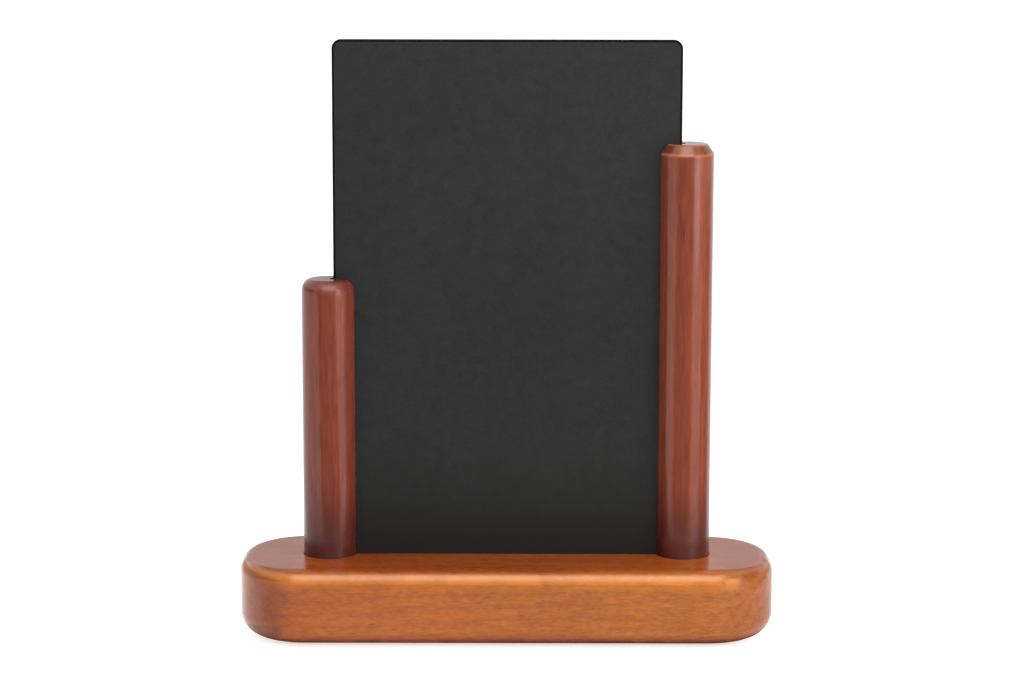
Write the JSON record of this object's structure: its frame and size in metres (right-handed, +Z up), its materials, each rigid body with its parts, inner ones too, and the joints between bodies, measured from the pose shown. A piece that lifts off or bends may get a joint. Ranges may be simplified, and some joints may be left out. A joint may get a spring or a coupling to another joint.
{
  "type": "menu holder",
  "caption": "Table-top menu board: a black chalk panel held upright in slotted wooden posts of unequal height on a rounded, lacquered wooden base; the panel lifts out.",
  "frame": {"origin": "on the table, under the middle of the base", "axes": "+Z up; +X to the right along the base, towards the tall post; the front faces -Y"},
  "size_m": [0.2014, 0.06, 0.2253],
  "materials": {
    "base_wood": "orange-brown stain under a clear satin-gloss lacquer",
    "post_wood": "red-brown stain under a clear satin-gloss lacquer",
    "chalkboard": "matt black chalkboard paint on hardboard",
    "felt": "dark pressed felt"
  },
  "bodies": {
    "stand": {"base": "base_wood", "short_post": "post_wood", "tall_post": "post_wood", "felt_pad_front_left": "felt", "felt_pad_back_left": "felt", "felt_pad_front_right": "felt", "felt_pad_back_right": "felt"},
    "panel": {"writing_panel": "chalkboard"}
  },
  "joints": [
    {"name": "panel_lift", "type": "slide", "parent": "stand", "child": "panel", "axis": [0, 0, 1], "range_m": [0, 0.165]}
  ]
}
